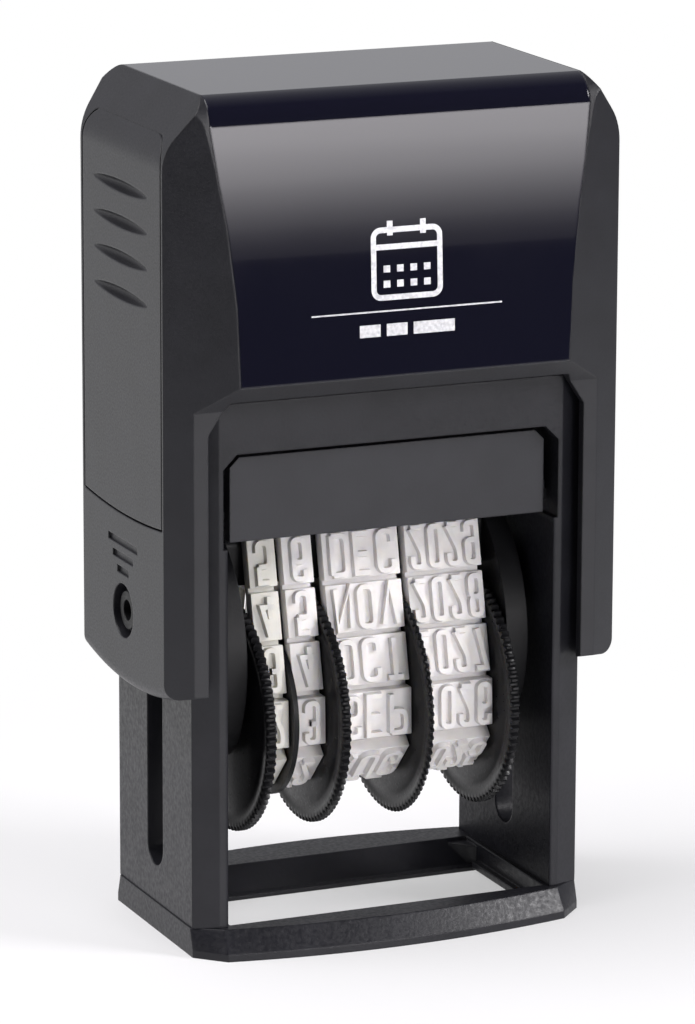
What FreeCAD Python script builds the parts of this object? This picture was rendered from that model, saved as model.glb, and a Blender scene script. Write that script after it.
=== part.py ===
import FreeCAD, Part

import math
import os

from FreeCAD import Vector

# Self-inking rotary date stamp, millimetres. X is the width, the front faces -Y, +Z is up.
# The origin is the centre of the foot's underside. Everything is drawn at rest: cap up, dies against the pad.
# "Height" below means height above the underside of the foot.

# ---- Driving dimensions ----
TRAVEL = 22.4
PIVOT_HEIGHT = 30.4
PRINT_RADIUS = PIVOT_HEIGHT - TRAVEL
WHEEL_DROP = 10.65
BAND_Y = 0.5
RUN_GAP = 0.05
SLIDE_GAP = 0.15

# Foot ring
FOOT_HALF_WIDTH = 19.2
FOOT_HALF_DEPTH = 11.8
FOOT_CORNER = 2.45
FOOT_BAND = 0.7
FOOT_TOP = 2.65
FOOT_TOP_DEPTH = 10.5
FOOT_TOP_CORNER_X = 16.6
FOOT_TOP_CORNER_Y = 8.7
FOOT_OPEN_X = 15.6
FOOT_OPEN_Y = 8.6
FOOT_OPEN_BACK = 4.9
FOOT_BOW = 1.75
FOOT_GUSSET = 2.3

# Frame
WALL_IN = 16.0
WALL_OUT = 19.1
FRAME_HALF_DEPTH = 10.0
FRAME_CORNER_X = 16.8
FRAME_CORNER_Y = 9.0
FRAME_TOP = 52.0
PLATE = 1.2
SHOULDER = 1.1
EAR_OUT = 8.5
EAR_IN = 5.25
EAR_LOW = 1.05
WINDOW_X = 16.4
WINDOW_LOW = 37.7
WINDOW_HIGH = 46.3
WINDOW_CORNER = 1.3
DECK = 0.9
SPRING_SEAT = 45.5
CUP_RADIUS = 5.4
RAIL_LOW = 38.9
RAIL_HIGH = 39.95
RAIL_IN = 15.4

# Ink cartridge
BAR_X = 15.4
BAR_LOW = 38.1
BAR_HIGH = 45.8
BAR_FRONT = 9.0
BAR_CORNER = 0.9
TRAY_X = 14.8
TRAY_FRONT = 7.8
TRAY_BACK = 8.6
TRAY_TOP = 44.3
PAD_X = 14.0
PAD_Y = 7.3
PAD_TOP = 42.9

# Cap
CAP_X = 22.1
CAP_CORNER_Y = 10.0
CAP_FRONT_X = 16.0
CAP_FRONT = 13.0
CAP_TOP = 78.5
CAP_TOP_X = 18.4
CAP_IN_X = 19.5
CAP_IN_Y = 10.25
CAP_ROOF = 76.5
ARM_LOW = 23.25
ARM_ARC_RADIUS = 44.0
LIP_Y = 11.2
LIP_X = 18.3
LIP_TURN = 50.6
COVER_LOW = 52.9
OPENING_TOP = 51.4
OPENING_TOP_X = 16.4
OPENING_TURN = 48.5
BELLY_LOW = 53.0
BELLY_RADIUS = 196.0
BROW_Z = 76.0
BROW_RADIUS = 2.9
COVER = 0.6
CARD = 0.15
CARD_X = 14.5
CARD_LOW = 55.0
CARD_HIGH = 72.0
SHELL_AT_FRONT = 1.3
GRIP = 1.0
GRIP_SEAM = 0.2
GRIP_GROOVES = (69.5, 66.3, 63.1, 59.8)
GROOVE_FRONT = -7.9
GROOVE_BACK = 8.1
ARM_COUNTERBORE = 2.5
ARM_COUNTERBORE_X = 20.9

# Platen, heights measured from the pivot
END_IN = 12.85
END_OUT = 15.0
PLATEN_Y = 7.0
DIE_PLATE_LOW = 4.6
DIE_PLATE_TOP = 5.7
DIE_SHEET_TOP = 7.3
DIE_EDGE = 4.55
JOURNAL = 1.75
JOURNAL_TIP = 21.7
AXLE = 1.5
BAND_THICKNESS = 2.0
BAND_INNER = 5.4
ANVIL_TOP = PRINT_RADIUS - BAND_THICKNESS
ANVIL_HALF = 1.9
ANVIL_ROUND = 0.8
WHEEL_RADIUS = 11.0
HUB_GAP = 0.1
SEPARATOR_RADIUS = 8.0
SEPARATOR = (-8.45, -8.0)

# Each band: name, its two edges along X, then the disc's two faces and the hub's free end.
BANDS = (
    ("day_tens", (-11.25, -8.55), (-12.25, -11.35), -8.55),
    ("day_ones", (-7.9, -4.95), (-4.85, -4.05), -7.9),
    ("month", (-3.95, 3.6), (3.7, 4.15), -3.95),
    ("year", (4.25, 11.75), (11.85, 12.7), 4.25),
)

# Return spring
WIRE = 0.45
COIL_RADIUS = 4.5
COIL_TURNS = 7.5
COIL_STEPS = 20
WIRE_SIDES = 8


# ---- Small builders ----
def box(x, y, z):
    """A block between two limits on each axis."""
    return Part.makeBox(x[1] - x[0], y[1] - y[0], z[1] - z[0], Vector(x[0], y[0], z[0]))


def plan_prism(points, low, high):
    """A polygon in plan (x, y), raised between two heights."""
    wire = Part.makePolygon([Vector(x, y, low) for x, y in points + points[:1]])
    return Part.Face(wire).extrude(Vector(0, 0, high - low))


def front_prism(points, y_low, y_high):
    """A polygon seen from the front (x, z), drawn out along Y."""
    wire = Part.makePolygon([Vector(x, y_low, z) for x, z in points + points[:1]])
    return Part.Face(wire).extrude(Vector(0, y_high - y_low, 0))


def side_prism(points, x_low, x_high):
    """A polygon seen from the side (y, z), drawn out along X."""
    wire = Part.makePolygon([Vector(x_low, y, z) for y, z in points + points[:1]])
    return Part.Face(wire).extrude(Vector(x_high - x_low, 0, 0))


def rod(radius, x_low, x_high, height, y=0.0):
    """A cylinder along X."""
    return Part.makeCylinder(radius, x_high - x_low, Vector(x_low, y, height), Vector(1, 0, 0))


def both_ways(points):
    """Mirror an outline's right half, listed from bottom to top, to close it on the left."""
    return points + [(-a, b) for a, b in reversed(points)]


def polygon_face(points):
    return Part.Face(Part.makePolygon(points + points[:1]))


def mirror_x(shape):
    return shape.mirror(Vector(0, 0, 0), Vector(1, 0, 0))


def mirror_y(shape):
    return shape.mirror(Vector(0, 0, 0), Vector(0, 1, 0))


def line(start, end):
    return Part.LineSegment(start, end).toShape()


def arc(start, middle, end):
    return Part.Arc(start, middle, end).toShape()


# ---- Foot ring ----
def foot_outline(half_x, half_y, corner_x, corner_y, height):
    """An eight-sided outline whose long front and back sides bow outwards."""
    ends = [Vector(corner_x, -half_y, height), Vector(half_x, -corner_y, height)]
    ends = ends + [Vector(v.x, -v.y, height) for v in reversed(ends)]
    ends = ends + [Vector(-v.x, -v.y, height) for v in ends]
    edges = [line(ends[0], ends[1]), line(ends[1], ends[2]), line(ends[2], ends[3])]
    edges.append(arc(ends[3], Vector(0, half_y + FOOT_BOW, height), ends[4]))
    edges = edges + [line(ends[4], ends[5]), line(ends[5], ends[6]), line(ends[6], ends[7])]
    edges.append(arc(ends[7], Vector(0, -half_y - FOOT_BOW, height), ends[0]))
    return Part.Wire(edges)


def foot_ring():
    """A low ring, straight at the bottom edge and sloping in above it, with a rectangular printing opening."""
    corner_x = FOOT_HALF_WIDTH - FOOT_CORNER
    corner_y = FOOT_HALF_DEPTH - FOOT_CORNER
    bottom = foot_outline(FOOT_HALF_WIDTH, FOOT_HALF_DEPTH, corner_x, corner_y, 0.0)
    middle = foot_outline(FOOT_HALF_WIDTH, FOOT_HALF_DEPTH, corner_x, corner_y, FOOT_BAND)
    top = foot_outline(FOOT_HALF_WIDTH, FOOT_TOP_DEPTH, FOOT_TOP_CORNER_X, FOOT_TOP_CORNER_Y, FOOT_TOP)
    ring = Part.makeLoft([bottom, middle], True, True).fuse(Part.makeLoft([middle, top], True, True))
    opening = box((-FOOT_OPEN_X, FOOT_OPEN_X), (-FOOT_OPEN_Y, FOOT_OPEN_BACK), (-1, FOOT_TOP + 1))
    ring = ring.cut(opening).cut(foot_inner_bevels())
    for piece in foot_gussets() + foot_ledges():
        ring = ring.fuse(piece)
    return ring.cut(wall_blank(1)).cut(wall_blank(-1)).removeSplitter()


def foot_inner_bevels():
    """The front bar falls away steeply to the opening, the back bar by a long slope and a narrow ledge."""
    front = [(-FOOT_OPEN_Y + 0.1, 1.2), (-FOOT_OPEN_Y - 0.9, FOOT_TOP + 0.1), (-FOOT_OPEN_Y + 0.1, FOOT_TOP + 0.1)]
    top_back = FOOT_OPEN_BACK + 2.7
    back = [
        (FOOT_OPEN_BACK - 0.1, 0.4),
        (FOOT_OPEN_BACK + 0.8, 0.5),
        (top_back, FOOT_TOP + 0.1),
        (FOOT_OPEN_BACK - 0.1, FOOT_TOP + 0.1),
    ]
    bevel = side_prism(front, -FOOT_OPEN_X, FOOT_OPEN_X)
    return bevel.fuse(side_prism(back, -FOOT_OPEN_X, FOOT_OPEN_X))


def foot_gussets():
    """Small three-cornered webs stiffen the inner corners, taller at the back."""
    webs = []
    for corner_y, reach, low, high in ((-FOOT_OPEN_Y, FOOT_GUSSET, 0.5, 1.6), (7.4, -FOOT_GUSSET, 0.5, 2.3)):
        corner = [(FOOT_OPEN_X, corner_y), (FOOT_OPEN_X - FOOT_GUSSET, corner_y), (FOOT_OPEN_X, corner_y + reach)]
        web = plan_prism(corner, low, high)
        webs = webs + [web, mirror_x(web)]
    return webs


def foot_ledges():
    """A stepped ledge inside each short side."""
    ledge = box((FOOT_OPEN_X - 0.7, FOOT_OPEN_X), (-4.6, 4.6), (0.4, 1.0))
    return [ledge, mirror_x(ledge)]


# ---- Frame ----
def wall_blank(side):
    """One side wall without its slot, with the notched lower edge that sits in the foot."""
    plan = [
        (WALL_IN, -FRAME_HALF_DEPTH),
        (FRAME_CORNER_X, -FRAME_HALF_DEPTH),
        (WALL_OUT, -FRAME_CORNER_Y),
        (WALL_OUT, FRAME_CORNER_Y),
        (FRAME_CORNER_X, FRAME_HALF_DEPTH),
        (WALL_IN, FRAME_HALF_DEPTH),
    ]
    outline = [
        (EAR_IN, EAR_LOW),
        (EAR_OUT, FOOT_TOP),
        (FRAME_HALF_DEPTH, FOOT_TOP),
        (FRAME_HALF_DEPTH, FRAME_TOP - SHOULDER),
        (FRAME_HALF_DEPTH - SHOULDER, FRAME_TOP),
    ]
    wall = plan_prism(plan, 0, FRAME_TOP).common(side_prism(both_ways(outline), 0, CAP_X))
    shoulder = [
        (WALL_OUT + 0.1, FRAME_TOP - 1.6),
        (WALL_OUT, FRAME_TOP - 1.6),
        (WALL_OUT - SHOULDER, FRAME_TOP),
        (WALL_OUT + 0.1, FRAME_TOP),
    ]
    wall = wall.cut(front_prism(shoulder, -FRAME_HALF_DEPTH, FRAME_HALF_DEPTH))
    return wall if side > 0 else mirror_x(wall)


def pivot_slot():
    """The upright slot in both walls that the platen's pins run down."""
    half = JOURNAL + SLIDE_GAP
    low = PIVOT_HEIGHT - TRAVEL
    high = PIVOT_HEIGHT + 0.6
    slot = box((-CAP_X, CAP_X), (-half, half), (low, high))
    slot = slot.fuse(rod(half, -CAP_X, CAP_X, low)).fuse(rod(half, -CAP_X, CAP_X, high))
    core = box((-WALL_IN + 0.5, WALL_IN - 0.5), (-half, half), (0, FRAME_TOP))
    return slot.cut(core)


def window_outline():
    half = [
        (WINDOW_X, WINDOW_LOW),
        (WINDOW_X, WINDOW_HIGH - WINDOW_CORNER),
        (WINDOW_X - WINDOW_CORNER, WINDOW_HIGH),
    ]
    return both_ways(half)


def face_plate():
    """The plate over the cartridge's window, at the front of the frame, with a bevelled top edge."""
    outline = [
        (-FRAME_HALF_DEPTH, WINDOW_LOW),
        (-FRAME_HALF_DEPTH + PLATE, WINDOW_LOW),
        (-FRAME_HALF_DEPTH + PLATE, FRAME_TOP),
        (-FRAME_HALF_DEPTH + SHOULDER, FRAME_TOP),
        (-FRAME_HALF_DEPTH, FRAME_TOP - SHOULDER),
    ]
    return side_prism(outline, -WALL_IN - 0.5, WALL_IN + 0.5)


def spring_cup():
    floor = SPRING_SEAT - DECK
    cup = Part.makeCylinder(CUP_RADIUS + 0.9, WINDOW_HIGH + DECK - floor, Vector(0, 0, floor))
    hollow = Part.makeCylinder(CUP_RADIUS, FRAME_TOP - SPRING_SEAT, Vector(0, 0, SPRING_SEAT))
    return cup, hollow


def base_frame():
    """Two walls, the plates over the window, the deck with the spring's cup, and the cartridge's rails."""
    plate = face_plate()
    frame = wall_blank(1).fuse([wall_blank(-1), plate, mirror_y(plate)])
    window = front_prism(window_outline(), -CAP_FRONT, CAP_FRONT)
    frame = frame.cut(window).cut(pivot_slot())
    deck_y = FRAME_HALF_DEPTH - PLATE
    deck = box((-WALL_IN - 0.3, WALL_IN + 0.3), (-deck_y - 0.3, deck_y + 0.3), (WINDOW_HIGH, WINDOW_HIGH + DECK))
    rail = box((RAIL_IN, WALL_IN + 0.8), (-TRAY_FRONT + 0.2, TRAY_BACK - 0.2), (RAIL_LOW, RAIL_HIGH))
    cup, hollow = spring_cup()
    frame = frame.fuse([deck, cup, rail, mirror_x(rail)])
    return frame.cut(hollow).removeSplitter()


# ---- Ink cartridge ----
def ink_cartridge():
    """A drawer: a bar across the front, a tray that is open downwards, and side flanges that rest on the rails."""
    bar_half = [(BAR_X, BAR_LOW), (BAR_X, BAR_HIGH - BAR_CORNER), (BAR_X - BAR_CORNER, BAR_HIGH)]
    bar = front_prism(both_ways(bar_half), -BAR_FRONT, -TRAY_FRONT)
    tray = box((-TRAY_X, TRAY_X), (-TRAY_FRONT, TRAY_BACK), (BAR_LOW + 1.1, TRAY_TOP))
    flange = box((-WALL_IN - 0.1, WALL_IN + 0.1), (-TRAY_FRONT, TRAY_BACK - 0.2), (RAIL_HIGH, RAIL_HIGH + 0.8))
    back_half = [(BAR_X, BAR_LOW + 1.1), (BAR_X, BAR_HIGH - BAR_CORNER), (BAR_X - BAR_CORNER, BAR_HIGH)]
    back = front_prism(both_ways(back_half), TRAY_BACK, BAR_FRONT)
    hollow = box((-PAD_X, PAD_X), (-PAD_Y, PAD_Y), (BAR_LOW - 1, PAD_TOP))
    return bar.fuse([tray, flange, back]).cut(hollow).removeSplitter()


def ink_pad():
    low = PIVOT_HEIGHT + PRINT_RADIUS + SLIDE_GAP
    return box((-PAD_X, PAD_X), (-PAD_Y, PAD_Y), (low, PAD_TOP))


# ---- Return spring ----
def spring_point(turn, around, length):
    """A point on the wire's surface: both end turns are closed up, the rest open evenly."""
    closed = 2 * WIRE + 0.02
    open_pitch = (length - 2 * WIRE - 2 * closed) / (COIL_TURNS - 2)
    rise = closed * min(turn, 1.0) + open_pitch * min(max(turn - 1.0, 0.0), COIL_TURNS - 2)
    rise += closed * max(turn - COIL_TURNS + 1.0, 0.0)
    radius = COIL_RADIUS + WIRE * math.cos(around)
    angle = 2 * math.pi * turn
    height = SPRING_SEAT + WIRE + rise + WIRE * math.sin(around)
    return Vector(radius * math.cos(angle), radius * math.sin(angle), height)


def return_spring():
    """A wire coil between the frame's cup and the roof of the cap, as a faceted tube."""
    length = CAP_ROOF - SPRING_SEAT - SLIDE_GAP
    steps = int(COIL_TURNS * COIL_STEPS)
    rings = []
    for step in range(steps + 1):
        turn = step / COIL_STEPS
        rings.append([spring_point(turn, 2 * math.pi * k / WIRE_SIDES, length) for k in range(WIRE_SIDES)])
    faces = [polygon_face(rings[0]), polygon_face(rings[-1])]
    for ring, following in zip(rings[:-1], rings[1:]):
        for k in range(WIRE_SIDES):
            after = (k + 1) % WIRE_SIDES
            faces.append(polygon_face([ring[k], ring[after], following[after]]))
            faces.append(polygon_face([ring[k], following[after], following[k]]))
    shell = Part.makeShell(faces)
    shell.sewShape()
    return Part.makeSolid(shell)


# ---- Cap ----
def cap_side_outline(inset=0.0):
    """The cap's outline from the side, with a long shallow belly curve and a tight brow, moved in by inset."""
    turn = math.asin((BROW_Z - BELLY_LOW) / BELLY_RADIUS)
    belly_centre = Vector(0, BELLY_RADIUS - CAP_FRONT, BELLY_LOW)
    brow_end = belly_centre + Vector(0, -math.cos(turn), math.sin(turn)) * BELLY_RADIUS
    brow_centre = brow_end + Vector(0, math.cos(turn), -math.sin(turn)) * BROW_RADIUS
    top_turn = math.asin((CAP_TOP - inset - brow_centre.z) / (BROW_RADIUS - inset))

    def on(centre, radius, angle):
        return centre + Vector(0, -math.cos(angle), math.sin(angle)) * (radius - inset)

    edge = CAP_FRONT - inset
    arm_low = ARM_LOW + ARM_ARC_RADIUS - math.sqrt(ARM_ARC_RADIUS ** 2 - edge ** 2)
    low = Vector(0, -edge, arm_low)
    belly = [on(belly_centre, BELLY_RADIUS, a) for a in (0.0, turn / 2, turn)]
    brow = [on(brow_centre, BROW_RADIUS, a) for a in (turn, (turn + top_turn) / 2, top_turn)]
    front = [line(low, belly[0]), arc(*belly), arc(*brow)]
    back = [edge_shape.mirror(Vector(0, 0, 0), Vector(0, 1, 0)) for edge_shape in front]
    roof = line(brow[2], Vector(0, -brow[2].y, brow[2].z))
    sole = arc(low, Vector(0, 0, ARM_LOW), Vector(0, edge, arm_low))
    return front + [roof] + back + [sole]


def cap_side_solid(inset=0.0):
    wire = Part.Wire(Part.__sortEdges__(cap_side_outline(inset)))
    wire.translate(Vector(-CAP_X - 1, 0, 0))
    return Part.Face(wire).extrude(Vector(2 * CAP_X + 2, 0, 0))


def cap_front_solid():
    """The cap's outline from the front: upright sides, rounded shoulders and a flat top."""
    shoulder_radius = 5.0
    shoulder_low = 72.0
    centre = Vector(CAP_X - shoulder_radius, 0, shoulder_low)
    start, middle, end = [
        centre + Vector(math.cos(math.radians(a)), 0, math.sin(math.radians(a))) * shoulder_radius
        for a in (0, 19, 38)
    ]
    right = [line(Vector(CAP_X, 0, 0), start), arc(start, middle, end), line(end, Vector(CAP_TOP_X, 0, CAP_TOP))]
    left = [edge.mirror(Vector(0, 0, 0), Vector(1, 0, 0)) for edge in right]
    top = line(Vector(CAP_TOP_X, 0, CAP_TOP), Vector(-CAP_TOP_X, 0, CAP_TOP))
    sole = line(Vector(-CAP_X, 0, 0), Vector(CAP_X, 0, 0))
    wire = Part.Wire(Part.__sortEdges__(right + [top] + left + [sole]))
    wire.translate(Vector(0, -CAP_FRONT - 1, 0))
    return Part.Face(wire).extrude(Vector(0, 2 * CAP_FRONT + 2, 0))


def cap_outer():
    plan = [
        (CAP_FRONT_X, -CAP_FRONT),
        (CAP_X, -CAP_CORNER_Y),
        (CAP_X, CAP_CORNER_Y),
        (CAP_FRONT_X, CAP_FRONT),
    ]
    plan = plan + [(-x, -y) for x, y in plan]
    return plan_prism(plan, 0, CAP_TOP + 1).common(cap_side_solid()).common(cap_front_solid())


def cap_cavity():
    """The space that the frame slides up into."""
    half = [(CAP_IN_X, 0), (CAP_IN_X, CAP_ROOF - 3.5), (CAP_IN_X - 2.7, CAP_ROOF)]
    space = front_prism(both_ways(half), -CAP_IN_Y, CAP_IN_Y)
    deep = cap_side_solid(SHELL_AT_FRONT)
    below = box((-CAP_X, CAP_X), (-CAP_FRONT, CAP_FRONT), (0, ARM_LOW + 8))
    return space.common(deep.fuse(below))


def cap_opening():
    """The arch at the front that shows the frame: a stepped-back lip with a sloping head, and the gap inside it."""
    slope = (COVER_LOW - LIP_TURN) / (CAP_FRONT - LIP_Y)
    lip = [
        (-CAP_FRONT - 1, 0),
        (-LIP_Y, 0),
        (-LIP_Y, LIP_TURN),
        (-CAP_FRONT - 1, LIP_TURN + slope * (CAP_FRONT + 1 - LIP_Y)),
    ]
    step = side_prism(lip, -CAP_X - 1, CAP_X + 1)
    half = [(LIP_X, 0), (LIP_X, OPENING_TURN), (OPENING_TOP_X, OPENING_TOP)]
    gap = front_prism(both_ways(half), -CAP_FRONT - 1, -CAP_IN_Y + 0.5)
    arch = step.fuse(gap)
    return arch.fuse(mirror_y(arch))


def cover_wedge():
    """The slightly fanned strip of the cap, front, top and back, that the glossy cover takes."""
    half = [
        (15.95, COVER_LOW),
        (16.2, 60.0),
        (16.97, 67.0),
        (17.64, 71.0),
        (18.3, BROW_Z),
        (18.2, CAP_TOP + 1),
    ]
    return front_prism(both_ways(half), -CAP_FRONT - 1, CAP_FRONT + 1)


def card_space():
    zone = box((-CARD_X, CARD_X), (-CAP_FRONT, 0), (CARD_LOW, CARD_HIGH))
    return zone.common(cap_side_solid(COVER)).cut(cap_side_solid(COVER + CARD))


def window_cover():
    return cap_outer().common(cover_wedge()).cut(cap_side_solid(COVER)).removeSplitter()


def grip_outline(grow=0.0):
    """The grip's outline on the cap's flat side (y, z), with rounded upper corners and a curved foot."""
    points = [
        (-9.5, 40.0),
        (-9.5, 71.6),
        (-8.6, 74.1),
        (-6.2, 75.0),
        (6.6, 75.0),
        (8.6, 74.3),
        (9.4, 72.4),
        (9.4, 40.0),
    ]
    spot = [Vector(0, y, z) for y, z in points]
    edges = [line(spot[0], spot[1]), arc(*spot[1:4]), line(spot[3], spot[4]), arc(*spot[4:7]), line(spot[6], spot[7])]
    edges.append(arc(spot[7], Vector(0, 0, 39.5), spot[0]))
    wire = Part.Wire(edges)
    return wire.makeOffset2D(grow) if grow else wire


def grip_block(grow=0.0):
    wire = grip_outline(grow)
    wire.translate(Vector(CAP_X - GRIP, 0, 0))
    return Part.Face(wire).extrude(Vector(GRIP + 1, 0, 0))


def finger_groove(height):
    """One lens-shaped groove with pointed ends: a spindle just off the surface, flattened in height."""
    off, depth, flatten = 0.35, 0.75, 0.55
    start, end = [Vector(CAP_X + off, y, 0) for y in (GROOVE_FRONT, GROOVE_BACK)]
    deepest = Vector(CAP_X - depth, (GROOVE_FRONT + GROOVE_BACK) / 2, 0)
    face = Part.Face(Part.Wire([arc(start, deepest, end), line(end, start)]))
    squeeze = FreeCAD.Matrix()
    squeeze.scale(Vector(1, 1, flatten))
    spindle = face.revolve(start, Vector(0, 1, 0), 360).transformGeometry(squeeze)
    spindle.translate(Vector(0, 0, height - 0.3))
    return spindle


def grip_right():
    grip = cap_outer().common(grip_block())
    for height in GRIP_GROOVES:
        grip = grip.cut(finger_groove(height))
    return grip


def press_marks():
    """Three shallow bars, each shorter than the last, moulded into the arm above the pivot hole."""
    marks = []
    for step in range(3):
        half = 3.6 - 1.1 * step
        top = 37.0 - 1.3 * step
        marks.append(box((CAP_X - 0.25, CAP_X + 0.5), (-half, half), (top - 0.65, top)))
    return marks


def arm_corner():
    """What is taken off the right arm to round its outer lower corner along the arm's curved sole."""
    radius = 1.4
    centre_x = CAP_X - radius
    turn = Part.makeTorus(ARM_ARC_RADIUS - radius, radius, Vector(centre_x, 0, ARM_LOW + ARM_ARC_RADIUS), Vector(1, 0, 0))
    reach = Part.makeCylinder(
        ARM_ARC_RADIUS + 1, radius + 1, Vector(centre_x, 0, ARM_LOW + ARM_ARC_RADIUS), Vector(1, 0, 0)
    )
    inner = Part.makeCylinder(
        ARM_ARC_RADIUS - radius, radius + 1, Vector(centre_x, 0, ARM_LOW + ARM_ARC_RADIUS), Vector(1, 0, 0)
    )
    return reach.cut(inner).cut(turn).common(box((0, CAP_X + 1), (-CAP_FRONT, CAP_FRONT), (0, ARM_LOW + 8)))


def cap_shell():
    shell = cap_outer().cut(cap_cavity()).cut(cap_opening())
    recess = cap_outer().common(cover_wedge()).cut(cap_side_solid(COVER))
    shell = shell.cut(recess).cut(card_space())
    bore = rod(JOURNAL + RUN_GAP, CAP_IN_X - 1, CAP_X + 1, PIVOT_HEIGHT)
    counterbore = rod(ARM_COUNTERBORE, ARM_COUNTERBORE_X, CAP_X + 1, PIVOT_HEIGHT)
    for cutter in [grip_block(GRIP_SEAM), bore, counterbore, arm_corner()] + press_marks():
        shell = shell.cut(cutter).cut(mirror_x(cutter))
    return shell


# ---- Platen, which turns over ----
def at_pivot(shape):
    """Heights in a platen part are drawn from the pivot, so lift it to its place."""
    shape.translate(Vector(0, 0, PIVOT_HEIGHT))
    return shape


def at_band_line(shape):
    """Bands, wheels and anvil are drawn about Y = 0, so shift them to the bands' own centre line."""
    shape.translate(Vector(0, BAND_Y, 0))
    return shape


def platen_end():
    """The right end plate with its pin, which runs through the wall's slot into the cap's arm."""
    top_front, top_back = (-1.8, DIE_PLATE_TOP), (PLATEN_Y, DIE_PLATE_TOP)
    hip_front, hip_back = (-5.6, -10.5), (6.6, -10.5)
    corners = [top_front, (-6.6, -1.6), hip_front, (BAND_Y, -14.6), hip_back, (7.4, -3.0), (PLATEN_Y, 3.0), top_back]
    spot = [Vector(END_IN, y, z) for y, z in corners]
    edges = [arc(*spot[0:3]), arc(*spot[2:5]), arc(*spot[4:7]), line(spot[6], spot[7]), line(spot[7], spot[0])]
    plate = Part.Face(Part.Wire(edges)).extrude(Vector(END_OUT - END_IN, 0, 0))
    shoulder = rod(3.0, END_OUT, WALL_IN - 0.2, 0)
    pin = rod(JOURNAL, END_OUT, JOURNAL_TIP, 0)
    dimple = rod(0.95, JOURNAL_TIP - 1.5, JOURNAL_TIP, 0)
    axle_hole = rod(AXLE, END_IN, END_OUT, -WHEEL_DROP, BAND_Y)
    return at_pivot(plate.fuse([shoulder, pin]).cut(dimple).cut(axle_hole).removeSplitter())


def die_plate():
    """A shelf behind the bands that carries the text die."""
    shelf = box((-END_IN, END_IN), (DIE_EDGE, PLATEN_Y), (DIE_PLATE_LOW, DIE_PLATE_TOP))
    rib = box((-END_IN, END_IN), (PLATEN_Y - 1.0, PLATEN_Y), (DIE_PLATE_LOW - 2.6, DIE_PLATE_LOW))
    return at_pivot(shelf.fuse(rib).removeSplitter())


def text_die():
    """The rubber sheet beside the date, with plain raised rules in place of wording."""
    sheet = box((-PAD_X, PAD_X), (DIE_EDGE, PLATEN_Y), (DIE_PLATE_TOP, DIE_SHEET_TOP))
    rules = [box((-11.0, 11.0), (y, y + 0.7), (DIE_SHEET_TOP, PRINT_RADIUS)) for y in (4.9, 6.0)]
    return at_pivot(sheet.fuse(rules).removeSplitter())


def date_anvil():
    """The bridge that holds the chosen row of every band up level with the text die."""
    bar = box((-END_IN, END_IN), (-ANVIL_HALF, ANVIL_HALF), (1.6, ANVIL_TOP - ANVIL_ROUND))
    crown = box((-END_IN, END_IN), (-ANVIL_HALF + ANVIL_ROUND, ANVIL_HALF - ANVIL_ROUND), (1.6, ANVIL_TOP))
    edge = rod(ANVIL_ROUND, -END_IN, END_IN, ANVIL_TOP - ANVIL_ROUND, ANVIL_HALF - ANVIL_ROUND)
    anvil = bar.fuse([crown, edge, mirror_y(edge)]).removeSplitter()
    return at_pivot(at_band_line(anvil))


def wheel_axle():
    return at_pivot(at_band_line(rod(AXLE, -END_OUT, END_OUT, -WHEEL_DROP)))


def band_separator():
    disc = rod(SEPARATOR_RADIUS, SEPARATOR[0], SEPARATOR[1], -WHEEL_DROP)
    disc = disc.cut(rod(AXLE, -END_OUT, END_OUT, -WHEEL_DROP))
    return at_pivot(at_band_line(disc))


def band_loop(offset, x):
    """A closed loop round the anvil's two rounded edges and the wheel's hub, moved out by offset."""
    small = ANVIL_ROUND + offset
    large = BAND_INNER + offset
    upper = Vector(x, ANVIL_HALF - ANVIL_ROUND, ANVIL_TOP - ANVIL_ROUND)
    lower = Vector(x, 0, -WHEEL_DROP)
    span = upper - lower
    lean = math.asin((large - small) / span.Length) - math.atan2(span.y, span.z)

    def on(centre, radius, angle):
        return centre + Vector(0, math.cos(angle), math.sin(angle)) * radius

    top = [on(upper, small, a) for a in (lean, (lean + math.pi / 2) / 2, math.pi / 2)]
    bottom = [on(lower, large, a) for a in (lean, -math.pi / 2, math.pi - lean)]
    right = [line(bottom[0], top[0]), arc(*top)]
    left = [edge.mirror(Vector(0, 0, 0), Vector(0, 1, 0)) for edge in right]
    crown = line(top[2], Vector(x, -top[2].y, top[2].z))
    return Part.Wire(Part.__sortEdges__(right + left + [crown, arc(*bottom)]))


def band(edges):
    """A rubber date band, drawn to the tips of its characters."""
    width = Vector(edges[1] - edges[0], 0, 0)
    outer = Part.Face(band_loop(BAND_THICKNESS, edges[0])).extrude(width)
    inner = Part.Face(band_loop(0.0, edges[0])).extrude(width)
    return at_pivot(at_band_line(outer.cut(inner)))


def wheel(disc, hub_end):
    """A setting wheel: a thin disc beside its band and a hub inside the band's loop."""
    hub_start = disc[1] if hub_end > disc[1] else disc[0]
    low, high = sorted((hub_start, hub_end))
    shape = rod(WHEEL_RADIUS, disc[0], disc[1], -WHEEL_DROP)
    shape = shape.fuse(rod(BAND_INNER - HUB_GAP, low, high, -WHEEL_DROP))
    shape = shape.cut(rod(AXLE + RUN_GAP, -END_OUT, END_OUT, -WHEEL_DROP))
    return at_pivot(at_band_line(shape.removeSplitter()))


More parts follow.
